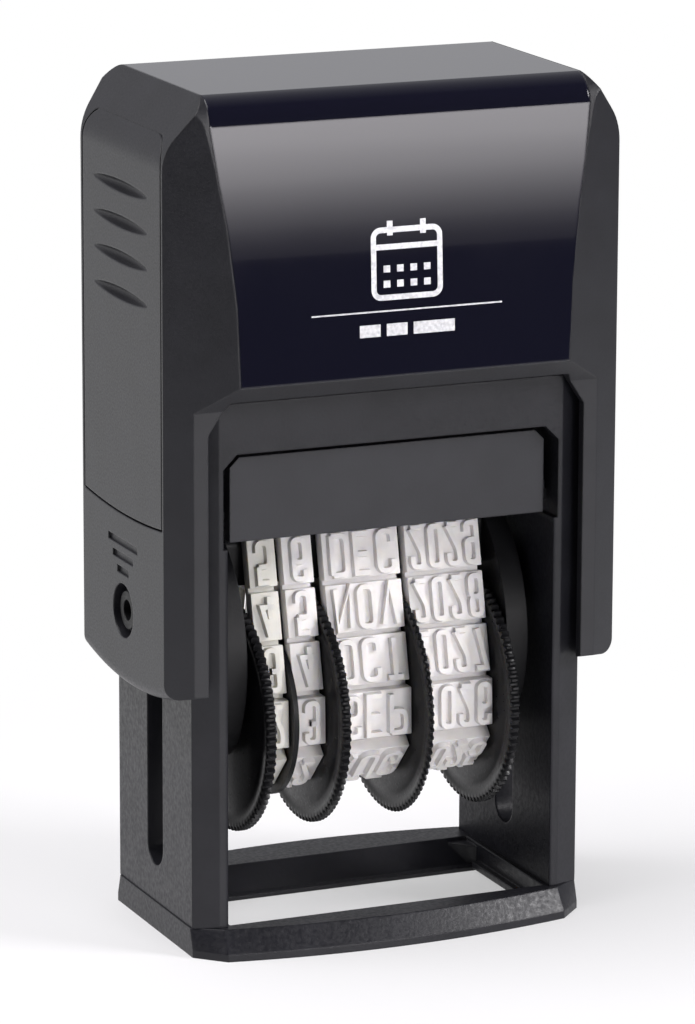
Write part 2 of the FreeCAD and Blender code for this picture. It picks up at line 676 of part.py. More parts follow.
def sub_parts():
    grip = grip_right()
    end = platen_end()
    parts = {
        "base_frame": base_frame(),
        "foot_ring": foot_ring(),
        "ink_cartridge": ink_cartridge(),
        "ink_pad": ink_pad(),
        "return_spring": return_spring(),
        "cap_shell": cap_shell(),
        "window_cover": window_cover(),
        "insert_card": card_space(),
        "grip_right": grip,
        "grip_left": mirror_x(grip),
        "platen_end_right": end,
        "platen_end_left": mirror_x(end),
        "die_plate": die_plate(),
        "text_die": text_die(),
        "date_anvil": date_anvil(),
        "wheel_axle": wheel_axle(),
        "band_separator": band_separator(),
    }
    for name, edges, disc, hub_end in BANDS:
        parts[name + "_band"] = band(edges)
        parts[name + "_wheel"] = wheel(disc, hub_end)
    return parts


def main():
    os.makedirs("parts", exist_ok=True)
    for name, shape in sub_parts().items():
        solids = shape.Solids
        print(name, "solids", len(solids), "valid", shape.isValid(), "volume", round(shape.Volume, 2))
        whole = solids[0] if len(solids) == 1 else Part.makeCompound(solids)
        whole.exportStep(os.path.join("parts", name + ".step"))


main()
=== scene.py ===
"""Looks of the self-inking rotary date stamp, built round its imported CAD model. Lengths are in metres."""

import math

import bmesh
import bpy
from mathutils import Matrix, Vector


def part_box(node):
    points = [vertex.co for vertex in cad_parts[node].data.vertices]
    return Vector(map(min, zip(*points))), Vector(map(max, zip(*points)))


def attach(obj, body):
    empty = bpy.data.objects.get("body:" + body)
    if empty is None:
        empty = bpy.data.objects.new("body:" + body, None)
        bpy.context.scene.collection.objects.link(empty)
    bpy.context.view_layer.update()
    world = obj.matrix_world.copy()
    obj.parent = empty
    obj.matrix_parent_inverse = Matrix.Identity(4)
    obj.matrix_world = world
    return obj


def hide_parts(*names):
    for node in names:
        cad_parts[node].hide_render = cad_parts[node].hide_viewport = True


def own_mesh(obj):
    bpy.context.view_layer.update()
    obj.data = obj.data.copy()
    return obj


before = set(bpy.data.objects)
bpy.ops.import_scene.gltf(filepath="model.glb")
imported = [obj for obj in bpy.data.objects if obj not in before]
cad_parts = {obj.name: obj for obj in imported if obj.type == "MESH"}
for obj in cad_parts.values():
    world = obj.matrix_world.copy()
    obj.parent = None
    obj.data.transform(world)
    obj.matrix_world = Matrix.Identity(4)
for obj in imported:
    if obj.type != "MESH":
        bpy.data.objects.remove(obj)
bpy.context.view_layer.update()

MM = 0.001

# ---- Places taken from the frame ----
cover_low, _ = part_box("window_cover")
separator_low, separator_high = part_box("band_separator")
_, band_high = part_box("month_band")
spring_low, spring_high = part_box("return_spring")

WHEEL_AXIS = (separator_low.z + separator_high.z) / 2
BAND_LINE = (separator_low.y + separator_high.y) / 2
FRONT_FACE = -cover_low.y
BAND_TOP = band_high.z

# ---- The date bands, in millimetres as the CAD has them ----
BAND_THICKNESS = 2.0 * MM
WEB = 0.7 * MM
PLATE = 0.8 * MM
ANVIL_HALF = 1.9 * MM
ANVIL_ROUND = 0.8 * MM
DRUM = 5.4 * MM
ROWS = 12
PLATE_HEIGHT = 4.5 * MM
PLATE_SINK = 0.35 * MM
PLATE_EDGE = 0.09 * MM
PLATE_TAPER = 0.975
BELT_INSET = 0.1 * MM
CHARACTER_HEIGHT = 4.05 * MM
STROKE_FOOT = 0.66 * MM
STROKE_TOP = 0.44 * MM
STROKE_SINK = 0.05 * MM
LAYER_STEP = 0.008 * MM
MONTHS = ("JAN", "DEC", "NOV", "OCT", "SEP", "AUG", "JUL", "JUN", "MAY", "APR", "MAR", "FEB")
TENS = ("6", "5", "4", "3", "2", "1", "0", "9", "8", "7", "", "")
ONES = ("7", "6", "5", "4", "3", "2", "1", "0", "9", "8", "", "")
YEARS = tuple(str(2030 - step) for step in range(ROWS))


# ---- Camera ----
def make_camera():
    data = bpy.data.cameras.new("camera")
    data.lens = 191.1
    data.sensor_width = 36.0
    data.clip_start = 0.01
    data.clip_end = 20.0
    camera = bpy.data.objects.new("camera", data)
    bpy.context.scene.collection.objects.link(camera)
    azimuth, elevation, distance = math.radians(-23.48), math.radians(13.19), 0.4963
    level = math.cos(elevation)
    back = Vector((math.sin(azimuth) * level, -math.cos(azimuth) * level, math.sin(elevation)))
    camera.location = Vector((0.0, 0.0, 0.0406)) + back * distance
    aim = Vector((-0.00035, -0.0006, 0.03766)) - camera.location
    roll = Matrix.Rotation(math.radians(0.21), 4, "Z")
    facing = aim.to_track_quat("-Z", "Y").to_matrix().to_4x4()
    camera.matrix_world = Matrix.Translation(camera.location) @ facing @ roll
    bpy.context.scene.camera = camera


# ---- Node helpers ----
def new_material(name):
    """A node material, with its nodes and links."""
    material = bpy.data.materials.new(name)
    material.use_nodes = True
    return material, material.node_tree.nodes, material.node_tree.links


def noise(nodes, links, scale, detail):
    """Noise fixed to the object, with a scale in cells to the metre."""
    place = nodes.new("ShaderNodeTexCoord")
    texture = nodes.new("ShaderNodeTexNoise")
    texture.inputs["Scale"].default_value = scale
    texture.inputs["Detail"].default_value = detail
    links.new(place.outputs["Object"], texture.inputs["Vector"])
    return texture.outputs["Fac"]


def spread(nodes, links, source, low, high, start=0.3, end=0.7, blend="LINEAR"):
    """Spread a value between start and end over low to high."""
    remap = nodes.new("ShaderNodeMapRange")
    remap.interpolation_type = blend
    remap.inputs["From Min"].default_value = start
    remap.inputs["From Max"].default_value = end
    remap.inputs["To Min"].default_value = low
    remap.inputs["To Max"].default_value = high
    links.new(source, remap.inputs["Value"])
    return remap.outputs["Result"]


def two_tones(nodes, links, source, dark, light):
    """A colour that goes from dark to light with the source."""
    ramp = nodes.new("ShaderNodeValToRGB")
    ramp.color_ramp.elements[0].position = 0.3
    ramp.color_ramp.elements[1].position = 0.7
    ramp.color_ramp.elements[0].color = (*dark, 1.0)
    ramp.color_ramp.elements[1].color = (*light, 1.0)
    links.new(source, ramp.inputs["Fac"])
    return ramp.outputs["Color"]


def surface(nodes, links, height, strength, distance, edge=0.0):
    """A normal from a height, over edges softened by a small radius."""
    bump = nodes.new("ShaderNodeBump")
    bump.inputs["Strength"].default_value = strength
    bump.inputs["Distance"].default_value = distance
    links.new(height, bump.inputs["Height"])
    if edge:
        bevel = nodes.new("ShaderNodeBevel")
        bevel.samples = 6
        bevel.inputs["Radius"].default_value = edge
        links.new(bevel.outputs["Normal"], bump.inputs["Normal"])
    return bump.outputs["Normal"]


def moulded_plastic(name, dark, light, roughness, grain, depth, edge=0.0, speck=0.0, shine=0.35):
    """Matte moulded plastic: a fine spark-eroded grain, faint mottling and softened edges."""
    material, nodes, links = new_material(name)
    shader = nodes["Principled BSDF"]
    mottling = noise(nodes, links, 260.0, 4.0)
    links.new(two_tones(nodes, links, mottling, dark, light), shader.inputs["Base Color"])
    fine = noise(nodes, links, grain, 3.0)
    rough = spread(nodes, links, fine, roughness - 0.07 - speck, roughness + 0.07)
    links.new(rough, shader.inputs["Roughness"])
    links.new(surface(nodes, links, fine, 0.35, depth, edge), shader.inputs["Normal"])
    shader.inputs["Specular IOR Level"].default_value = shine
    return material


def painted_inner_shade(material, half_width, ceiling):
    """Painted shade: less shine between the walls and below the ceiling, so the frame's inner surfaces
    render darker there.
    """
    nodes, links = material.node_tree.nodes, material.node_tree.links
    # painted shade: the low specular level darkens the frame inside its walls and under the window
    shade_shine, plain = 0.08, 0.35
    place = nodes.new("ShaderNodeTexCoord")
    split = nodes.new("ShaderNodeSeparateXYZ")
    links.new(place.outputs["Object"], split.inputs["Vector"])
    side = nodes.new("ShaderNodeMath")
    side.operation = "ABSOLUTE"
    links.new(split.outputs["X"], side.inputs[0])
    outward = spread(nodes, links, side.outputs["Value"], shade_shine, plain, half_width, half_width + 0.3 * MM)
    upward = spread(nodes, links, split.outputs["Z"], shade_shine, plain, ceiling, ceiling + 0.6 * MM)
    larger = nodes.new("ShaderNodeMath")
    larger.operation = "MAXIMUM"
    links.new(outward, larger.inputs[0])
    links.new(upward, larger.inputs[1])
    links.new(larger.outputs["Value"], nodes["Principled BSDF"].inputs["Specular IOR Level"])


def gloss_plastic():
    """Polished black plastic with a thin clear coat, faint smudges and a slow ripple."""
    material, nodes, links = new_material("gloss_black")
    shader = nodes["Principled BSDF"]
    shader.inputs["Base Color"].default_value = (0.0055, 0.0055, 0.0125, 1.0)
    shader.inputs["Coat Weight"].default_value = 0.4
    shader.inputs["Coat Roughness"].default_value = 0.02
    smudge = noise(nodes, links, 90.0, 3.0)
    links.new(spread(nodes, links, smudge, 0.035, 0.075), shader.inputs["Roughness"])
    ripple = noise(nodes, links, 45.0, 1.0)
    links.new(surface(nodes, links, ripple, 0.04, 0.00002, 0.00025), shader.inputs["Normal"])
    return material


def band_rubber(name, dark, light):
    """Soft pale rubber with a little light scattered inside and a fine dusty grain."""
    material, nodes, links = new_material(name)
    shader = nodes["Principled BSDF"]
    mottling = noise(nodes, links, 700.0, 4.0)
    links.new(two_tones(nodes, links, mottling, dark, light), shader.inputs["Base Color"])
    fine = noise(nodes, links, 5200.0, 3.0)
    links.new(spread(nodes, links, fine, 0.5, 0.68), shader.inputs["Roughness"])
    links.new(surface(nodes, links, fine, 0.3, 0.00003), shader.inputs["Normal"])
    shader.inputs["Subsurface Weight"].default_value = 0.25
    shader.inputs["Subsurface Radius"].default_value = (0.0009, 0.0007, 0.0004)
    shader.inputs["Subsurface Scale"].default_value = 0.6
    return material


def drawn_steel():
    """Bright wire with faint drawing streaks."""
    material, nodes, links = new_material("spring_wire")
    shader = nodes["Principled BSDF"]
    shader.inputs["Metallic"].default_value = 1.0
    streaks = noise(nodes, links, 1800.0, 4.0)
    metal = two_tones(nodes, links, streaks, (0.42, 0.42, 0.44), (0.62, 0.62, 0.64))
    links.new(metal, shader.inputs["Base Color"])
    links.new(spread(nodes, links, streaks, 0.2, 0.4), shader.inputs["Roughness"])
    return material


def silver_print():
    """Metallic ink with a fine flake."""
    material, nodes, links = new_material("silver_print")
    shader = nodes["Principled BSDF"]
    shader.inputs["Metallic"].default_value = 0.7
    flake = noise(nodes, links, 3000.0, 2.0)
    silver = two_tones(nodes, links, flake, (0.5, 0.5, 0.52), (0.74, 0.74, 0.76))
    links.new(silver, shader.inputs["Base Color"])
    links.new(spread(nodes, links, flake, 0.3, 0.5), shader.inputs["Roughness"])
    return material


def inked_felt():
    """Felt soaked with dark ink."""
    material, nodes, links = new_material("inked_felt")
    shader = nodes["Principled BSDF"]
    fibre = noise(nodes, links, 2600.0, 8.0)
    ink = two_tones(nodes, links, fibre, (0.006, 0.007, 0.02), (0.03, 0.035, 0.09))
    links.new(ink, shader.inputs["Base Color"])
    links.new(spread(nodes, links, fibre, 0.45, 0.9), shader.inputs["Roughness"])
    links.new(surface(nodes, links, fibre, 0.6, 0.00015), shader.inputs["Normal"])
    shader.inputs["Sheen Weight"].default_value = 0.3
    return material


def die_rubber():
    """Red rubber, stained by ink."""
    material, nodes, links = new_material("die_rubber")
    shader = nodes["Principled BSDF"]
    stain = noise(nodes, links, 420.0, 5.0)
    red = two_tones(nodes, links, stain, (0.10, 0.02, 0.02), (0.30, 0.07, 0.05))
    links.new(red, shader.inputs["Base Color"])
    fine = noise(nodes, links, 4500.0, 3.0)
    links.new(spread(nodes, links, fine, 0.45, 0.65), shader.inputs["Roughness"])
    links.new(surface(nodes, links, fine, 0.3, 0.00004, 0.0001), shader.inputs["Normal"])
    return material


def insert_card():
    """Matt black card with a faint fibre."""
    material, nodes, links = new_material("insert_card")
    shader = nodes["Principled BSDF"]
    fibre = noise(nodes, links, 900.0, 6.0)
    black = two_tones(nodes, links, fibre, (0.008, 0.008, 0.01), (0.016, 0.016, 0.02))
    links.new(black, shader.inputs["Base Color"])
    links.new(spread(nodes, links, fibre, 0.6, 0.8), shader.inputs["Roughness"])
    return material


def paint(node, material):
    """Give a CAD node a finished material in place of its own."""
    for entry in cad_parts[node].material_slots:
        entry.material = material


# ---- Mesh helpers ----
def add_object(name, mesh, material, body, smooth_angle=None):
    """Put a finished mesh in the scene, riding on a CAD body."""
    thing = bpy.data.objects.new(name, mesh)
    bpy.context.scene.collection.objects.link(thing)
    mesh.materials.clear()
    mesh.materials.append(material)
    if smooth_angle is not None:
        mesh.shade_smooth()
        mesh.set_sharp_from_angle(angle=math.radians(smooth_angle))
    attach(thing, body)
    return thing


def mesh_from(name, vertices, faces):
    """A mesh with doubled vertices merged and every face turned outwards."""
    mesh = bpy.data.meshes.new(name)
    mesh.from_pydata([tuple(v) for v in vertices], [], faces)
    work = bmesh.new()
    work.from_mesh(mesh)
    bmesh.ops.remove_doubles(work, verts=work.verts, dist=1e-7)
    bmesh.ops.recalc_face_normals(work, faces=work.faces)
    work.to_mesh(mesh)
    work.free()
    return mesh


def turned(name, rings, count):
    """A ring-shaped body turned about the wheels' axis. Each ring is (x, radius, tooth depth)."""
    vertices, faces = [], []
    for x, radius, depth in rings:
        for step in range(count):
            angle = 2 * math.pi * step / count
            reach = radius - depth * tooth(step)
            place = (x, BAND_LINE + reach * math.cos(angle), WHEEL_AXIS + reach * math.sin(angle))
            vertices.append(place)
    total = len(rings)
    for ring in range(total):
        following = (ring + 1) % total
        for step in range(count):
            after = (step + 1) % count
            faces.append((
                ring * count + step,
                ring * count + after,
                following * count + after,
                following * count + step,
            ))
    return mesh_from(name, vertices, faces)


# ---- Setting wheels ----
TEETH = 90
STEPS_PER_TOOTH = 8
TOOTH_DEPTH = 0.38 * MM
HUB_RADIUS = 5.3 * MM
AXLE_BORE = 1.55 * MM
RIM_ROUND = 0.12 * MM
GROOVE_DEPTH = 0.07 * MM


def tooth(step):
    """How far the rim is cut away, from 0 on a tooth's crown to 1 between two teeth."""
    share = (step % STEPS_PER_TOOTH) / STEPS_PER_TOOTH
    return min(max(0.5 - 1.1 * math.cos(2 * math.pi * share), 0.0), 1.0)


def disc_side(face, inward, radius):
    """Rings over one face of a disc, from its groove out to the teeth. Inward is 1 or -1 along X."""
    groove = face + inward * GROOVE_DEPTH
    return [
        (face, radius - 1.9 * MM, 0.0),
        (groove, radius - 1.75 * MM, 0.0),
        (groove, radius - 1.0 * MM, 0.0),
        (face, radius - 0.85 * MM, 0.0),
        (face, radius - 0.45 * MM, 0.0),
        (face + inward * RIM_ROUND * 0.4, radius - RIM_ROUND, TOOTH_DEPTH * 0.8),
        (face + inward * RIM_ROUND * 1.4, radius, TOOTH_DEPTH),
    ]


def make_wheel(node, material):
    """A thin disc with a rounded, knurled rim, a shallow groove on each face, and a hub towards its band."""
    low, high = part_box(node)
    radius = (high.z - low.z) / 2
    left, right = disc_faces(node, low, high)
    rings = disc_side(left, 1, radius) + disc_side(right, -1, radius)[::-1]
    if high.x - right > 0.5 * MM:
        hub = [(right, HUB_RADIUS, 0.0), (high.x, HUB_RADIUS, 0.0), (high.x, AXLE_BORE, 0.0)]
        rings = [(left, AXLE_BORE, 0.0)] + rings + hub
    else:
        hub = [(low.x, AXLE_BORE, 0.0), (low.x, HUB_RADIUS, 0.0), (left, HUB_RADIUS, 0.0)]
        rings = hub + rings + [(right, AXLE_BORE, 0.0)]
    mesh = turned(node + "_knurled", rings, TEETH * STEPS_PER_TOOTH)
    wheel = add_object(node + "_knurled", mesh, material, node, 32)
    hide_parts(node)


def disc_faces(node, low, high):
    """The disc's own two faces, found from the CAD vertices that lie out at its rim."""
    radius = (high.z - low.z) / 2
    rim = []
    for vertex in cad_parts[node].data.vertices:
        if math.hypot(vertex.co.y - BAND_LINE, vertex.co.z - WHEEL_AXIS) > radius * 0.9:
            rim.append(vertex.co.x)
    return min(rim), max(rim)


# ---- Date bands ----
def loop_measures(offset):
    """Centres, radii and lean of the loop that runs round the anvil and the wheel's hub."""
    anvil_top = BAND_TOP - BAND_THICKNESS
    small = ANVIL_ROUND + offset
    large = DRUM + offset
    half = ANVIL_HALF - ANVIL_ROUND
    upper = Vector((0.0, -half, anvil_top - ANVIL_ROUND))
    lower = Vector((0.0, 0.0, WHEEL_AXIS))
    span = upper - lower
    lean = math.asin((large - small) / span.length) - math.atan2(half, span.z)
    run = math.sqrt(span.length ** 2 - (large - small) ** 2)
    return upper, lower, small, large, half, lean, run


def loop_length(offset):
    """The distance once round the loop."""
    _, _, small, large, half, lean, run = loop_measures(offset)
    return 2 * (half + small * (math.pi / 2 - lean) + run + large * (math.pi / 2 + lean))


def loop_place(share, offset):
    """A point on the loop and the way outwards there. Share 0 is the top middle; 0.25 is on the front."""
    share = share % 1.0
    if share > 0.5:
        point, outward = loop_place(1.0 - share, offset)
        return Vector((0.0, -point.y, point.z)), Vector((0.0, -outward.y, outward.z))
    upper, lower, small, large, half, lean, run = loop_measures(offset)
    travel = share * loop_length(offset)
    if travel < half:
        return Vector((0.0, -travel, upper.z + small)), Vector((0.0, 0.0, 1.0))
    travel -= half
    corner = small * (math.pi / 2 - lean)
    if travel < corner:
        angle = math.pi / 2 - travel / small
        outward = Vector((0.0, -math.cos(angle), math.sin(angle)))
        return upper + outward * small, outward
    travel -= corner
    if travel < run:
        outward = Vector((0.0, -math.cos(lean), math.sin(lean)))
        down = Vector((0.0, -math.sin(lean), -math.cos(lean)))
        return upper + outward * small + down * travel, outward
    angle = lean - (travel - run) / large
    outward = Vector((0.0, -math.cos(angle), math.sin(angle)))
    return lower + outward * large, outward


def web_mesh(low_x, high_x):
    """The thin belt under the plates, closed on itself."""
    count = 180
    vertices, faces = [], []
    for step in range(count):
        share = step / count
        inner, _ = loop_place(share, 0.0)
        outer, _ = loop_place(share, WEB)
        for x, point in ((low_x, inner), (high_x, inner), (high_x, outer), (low_x, outer)):
            vertices.append((x, point.y, point.z))
    for step in range(count):
        after = (step + 1) % count
        for side in range(4):
            beside = (side + 1) % 4
            faces.append((step * 4 + side, step * 4 + beside, after * 4 + beside, after * 4 + side))
    return mesh_from("web", vertices, faces)


def plate_matrix(share):
    """Axes of one plate: X across the band, Y down it, Z outwards. It is a mirror frame, as type is."""
    point, outward = loop_place(share, WEB)
    across = Vector((1.0, 0.0, 0.0))
    down = outward.cross(across)
    if down.dot(Vector((0.0, -outward.z, outward.y))) < 0:
        down = -down
    return Matrix((
        (across.x, down.x, outward.x, point.x),
        (across.y, down.y, outward.y, point.y),
        (across.z, down.z, outward.z, point.z),
        (0.0, 0.0, 0.0, 1.0),
    ))


def add_plate(work, matrix, low_x, high_x):
    """One raised plate with softened edges, its foot sunk into the web."""
    made = bmesh.ops.create_cube(work, size=1.0)
    corners = made["verts"]
    size = Vector((high_x - low_x, PLATE_HEIGHT, PLATE + PLATE_SINK))
    middle = Vector(((low_x + high_x) / 2, 0.0, (PLATE - PLATE_SINK) / 2))
    for vertex in corners:
        vertex.co = Vector((vertex.co.x * size.x, vertex.co.y * size.y, vertex.co.z * size.z)) + middle
        if vertex.co.z > 0:
            vertex.co.y *= PLATE_TAPER
    edges = list({edge for vertex in corners for edge in vertex.link_edges})
    rounded = bmesh.ops.bevel(work, geom=edges, offset=PLATE_EDGE, segments=2, affect="EDGES", profile=0.6)
    moved = {vertex for face in rounded["faces"] for vertex in face.verts}
    moved.update(vertex for vertex in corners if vertex.is_valid)
    for vertex in moved:
        vertex.co = matrix @ vertex.co


# Each letter or digit is a few strokes in a unit box: (round corners or not, closed or not, corner points).
GLYPHS = {
    "0": ((1, 1, ((0, 0), (1, 0), (1, 1), (0, 1))),),
    "1": ((0, 0, ((0.15, 0.78), (0.55, 1), (0.55, 0))),),
    "2": ((1, 0, ((0, 0.72), (0, 1), (1, 1), (1, 0.66), (0, 0.02))), (0, 0, ((0, 0), (1, 0)))),
    "3": (
        (1, 0, ((0, 0.76), (0, 1), (1, 1), (1, 0.53), (0.4, 0.53))),
        (1, 0, ((0.4, 0.53), (1, 0.53), (1, 0), (0, 0), (0, 0.24))),
    ),
    "4": ((0, 0, ((0.55, 1), (0, 0.26), (1, 0.26))), (0, 0, ((0.7, 0.56), (0.7, 0)))),
    "5": (
        (0, 0, ((0.95, 1), (0.02, 1), (0.02, 0.6))),
        (1, 0, ((0.02, 0.6), (1, 0.6), (1, 0), (0, 0), (0, 0.24))),
    ),
    "6": ((1, 1, ((0, 0), (1, 0), (1, 0.57), (0, 0.57))), (1, 0, ((0, 0.3), (0, 1), (1, 1), (1, 0.78)))),
    "7": ((0, 0, ((0, 1), (1, 1), (0.32, 0))),),
    "8": (
        (1, 1, ((0, 0), (1, 0), (1, 0.53), (0, 0.53))),
        (1, 1, ((0.04, 0.53), (0.96, 0.53), (0.96, 1), (0.04, 1))),
    ),
    "9": ((1, 1, ((0, 0.43), (1, 0.43), (1, 1), (0, 1))), (1, 0, ((1, 0.7), (1, 0), (0, 0), (0, 0.22)))),
    "A": ((0, 0, ((0, 0), (0.5, 1), (1, 0))), (0, 0, ((0.18, 0.28), (0.82, 0.28)))),
    "B": (
        (0, 0, ((0, 0), (0, 1))),
        (1, 0, ((0, 1), (0.95, 1), (0.95, 0.53), (0, 0.53))),
        (1, 0, ((0, 0.53), (1, 0.53), (1, 0), (0, 0))),
    ),
    "C": ((1, 0, ((1, 0.72), (1, 1), (0, 1), (0, 0), (1, 0), (1, 0.28))),),
    "D": ((0, 0, ((0, 0), (0, 1))), (1, 0, ((0, 1), (1, 1), (1, 0), (0, 0)))),
    "E": ((0, 0, ((0.95, 1), (0, 1), (0, 0), (0.95, 0))), (0, 0, ((0, 0.52), (0.85, 0.52)))),
    "F": ((0, 0, ((0.95, 1), (0, 1), (0, 0))), (0, 0, ((0, 0.5), (0.85, 0.5)))),
    "G": (
        (1, 0, ((1, 0.72), (1, 1), (0, 1), (0, 0), (1, 0), (1, 0.3))),
        (0, 0, ((1, 0.3), (1, 0.46), (0.55, 0.46))),
    ),
    "J": ((1, 0, ((1, 1), (1, 0), (0, 0), (0, 0.3))),),
    "L": ((0, 0, ((0, 1), (0, 0), (0.95, 0))),),
    "M": ((0, 0, ((0, 0), (0, 1), (0.5, 0.32), (1, 1), (1, 0))),),
    "N": ((0, 0, ((0, 0), (0, 1), (1, 0), (1, 1))),),
    "O": ((1, 1, ((0, 0), (1, 0), (1, 1), (0, 1))),),
    "P": ((0, 0, ((0, 0), (0, 1))), (1, 0, ((0, 1), (1, 1), (1, 0.45), (0, 0.45)))),
    "R": (
        (0, 0, ((0, 0), (0, 1))),
        (1, 0, ((0, 1), (1, 1), (1, 0.48), (0, 0.48))),
        (0, 0, ((0.45, 0.48), (1, 0))),
    ),
    "S": ((1, 0, ((1, 0.76), (1, 1), (0, 1), (0, 0.53), (1, 0.53), (1, 0), (0, 0), (0, 0.24))),),
    "T": ((0, 0, ((0, 1), (1, 1))), (0, 0, ((0.5, 1), (0.5, 0)))),
    "U": ((1, 0, ((0, 1), (0, 0), (1, 0), (1, 1))),),
    "V": ((0, 0, ((0, 1), (0.5, 0), (1, 1))),),
    "Y": ((0, 0, ((0, 1), (0.5, 0.5), (1, 1))), (0, 0, ((0.5, 0.5), (0.5, 0)))),
}


def rounded_path(points, radius, closed):
    """Replace each corner of a path with a short curve."""
    path = []
    count = len(points)
    for index, corner in enumerate(points):
        if not closed and index in (0, count - 1):
            path.append(corner)
            continue
        before, after = points[index - 1], points[(index + 1) % count]
        reach_in = min(radius, (corner - before).length * 0.49)
        reach_out = min(radius, (after - corner).length * 0.49)
        start = corner + (before - corner).normalized() * reach_in
        end = corner + (after - corner).normalized() * reach_out
        for step in range(6):
            share = step / 5
            path.append(start.lerp(corner, share).lerp(corner.lerp(end, share), share))
    return path


def side_step(before, here, after):
    """Which way, and how far, a ribbon's edge lies from its centre line at a bend."""
    along_in = (here - before).normalized() if before is not None else None
    along_out = (after - here).normalized() if after is not None else None
    if along_in is None or along_out is None:
        along = along_out or along_in
        return Vector((-along.y, along.x))
    mean = (along_in + along_out).normalized()
    side = Vector((-mean.y, mean.x))
    square = Vector((-along_in.y, along_in.x))
    return side * min(1.0 / max(side.dot(square), 0.1), 1.7)


def add_ribbon(work, path, closed, top, matrix):
    """One raised stroke: a wide foot sunk in the plate and a narrower flat top."""
    foot = PLATE - STROKE_SINK
    profile = (
        (-STROKE_FOOT / 2, foot),
        (-STROKE_TOP / 2, top),
        (STROKE_TOP / 2, top),
        (STROKE_FOOT / 2, foot),
    )
    count = len(path)
    rings = []
    for index, here in enumerate(path):
        before = path[index - 1] if closed or index else None
        after = path[(index + 1) % count] if closed or index < count - 1 else None
        side = side_step(before, here, after)
        section = []
        for half, height in profile:
            place = Vector((here.x + side.x * half, here.y + side.y * half, height))
            section.append(work.verts.new(matrix @ place))
        rings.append(section)
    for index in range(count if closed else count - 1):
        ring, following = rings[index], rings[(index + 1) % count]
        for corner in range(4):
            beside = (corner + 1) % 4
            work.faces.new((ring[corner], ring[beside], following[beside], following[corner]))
    if not closed:
        work.faces.new(rings[0])
        work.faces.new(rings[-1])


def add_characters(work, matrix, text, glyph_width, pitch, middle_x):
    """Raised type for one row. Y runs down the band, so the type stands upside down."""
    half_stroke = STROKE_TOP / 2
    height = CHARACTER_HEIGHT - STROKE_TOP
    raised = BAND_THICKNESS - WEB
    for place, letter in enumerate(text):
        left = middle_x + (place - (len(text) - 1) / 2) * pitch - glyph_width / 2 + half_stroke
        width = glyph_width - STROKE_TOP
        for layer, (is_round, closed, corners) in enumerate(GLYPHS[letter]):
            points = [Vector((left + u * width, (v - 0.5) * height)) for u, v in corners]
            path = rounded_path(points, width * 0.48, closed) if is_round else points
            add_ribbon(work, path, closed, raised - layer * LAYER_STEP, matrix)


def make_band(node, texts, glyph_width, pitch, material):
    """A date band: the belt, a plate for each row, and the mirror-written type on every plate."""
    low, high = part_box(node)
    middle = (low.x + high.x) / 2
    work = bmesh.new()
    belt = web_mesh(low.x + BELT_INSET, high.x - BELT_INSET)
    work.from_mesh(belt)
    bpy.data.meshes.remove(belt)
    for row in range(ROWS):
        add_plate(work, plate_matrix(row / ROWS), low.x, high.x)
    for row, text in enumerate(texts):
        add_characters(work, plate_matrix(row / ROWS), text, glyph_width, pitch, middle)
    bmesh.ops.recalc_face_normals(work, faces=work.faces)
    bmesh.ops.translate(work, verts=work.verts, vec=(0.0, BAND_LINE, 0.0))
    mesh = bpy.data.meshes.new(node + "_rubber")
    work.to_mesh(mesh)
    work.free()
    rubber = add_object(node + "_rubber", mesh, material, "platen", 35)
    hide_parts(node)


# ---- Return spring ----
def make_spring(material):
    """A round-wire coil with closed end turns."""
    turns, sides, steps = 7.5, 14, 48
    wire = 0.45 * MM
    radius = (spring_high.x - spring_low.x) / 2 - wire
    closed = 2 * wire
    length = spring_high.z - spring_low.z
    pitch = (length - 2 * wire - 2 * closed) / (turns - 2)
    vertices, faces = [], []
    total = int(turns * steps)
    for step in range(total + 1):
        turn = step / steps
        rise = closed * min(turn, 1.0) + pitch * min(max(turn - 1.0, 0.0), turns - 2)
        rise += closed * max(turn - turns + 1.0, 0.0)
        angle = 2 * math.pi * turn
        for side in range(sides):
            around = 2 * math.pi * side / sides
            reach = radius + wire * math.cos(around)
            height = spring_low.z + wire + rise + wire * math.sin(around)
            vertices.append((reach * math.cos(angle), reach * math.sin(angle), height))
    for step in range(total):
        for side in range(sides):
            beside = (side + 1) % sides
            first, second = step * sides, (step + 1) * sides
            faces.append((first + side, first + beside, second + beside, second + side))
    faces.append(tuple(range(sides)))
    faces.append(tuple(total * sides + side for side in range(sides)))
    mesh = mesh_from("spring_coil", vertices, faces)
    coil = add_object("spring_coil", mesh, material, "frame", 50)
    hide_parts("return_spring")
    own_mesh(coil)


# ---- Print on the cover ----
BELLY_START = cover_low.z + 0.1 * MM
BELLY_RADIUS = 196.0 * MM
PRINT_GAP = 0.02 * MM


def cover_surface(x, z):
    """A point just in front of the glossy cover's long shallow curve."""
    rise = max(z - BELLY_START, 0.0)
    back = BELLY_RADIUS - math.sqrt(BELLY_RADIUS ** 2 - rise ** 2)
    return Vector((x, -FRONT_FACE + back - PRINT_GAP, z))


def stroke(path, width, closed=False):
    """A flat ribbon along a path of (x, z) points, laid on the cover."""
    vertices, faces = [], []
    count = len(path)
    for index in range(count):
        before = path[(index - 1) % count] if closed or index else path[0]
        after = path[(index + 1) % count] if closed or index < count - 1 else path[-1]
        along = Vector((after[0] - before[0], after[1] - before[1])).normalized()
        side = Vector((-along.y, along.x)) * width / 2
        for sign in (-1, 1):
            vertices.append(cover_surface(path[index][0] + sign * side.x, path[index][1] + sign * side.y))
    for index in range(count if closed else count - 1):
        after = (index + 1) % count
        faces.append((index * 2, index * 2 + 1, after * 2 + 1, after * 2))
    return vertices, faces


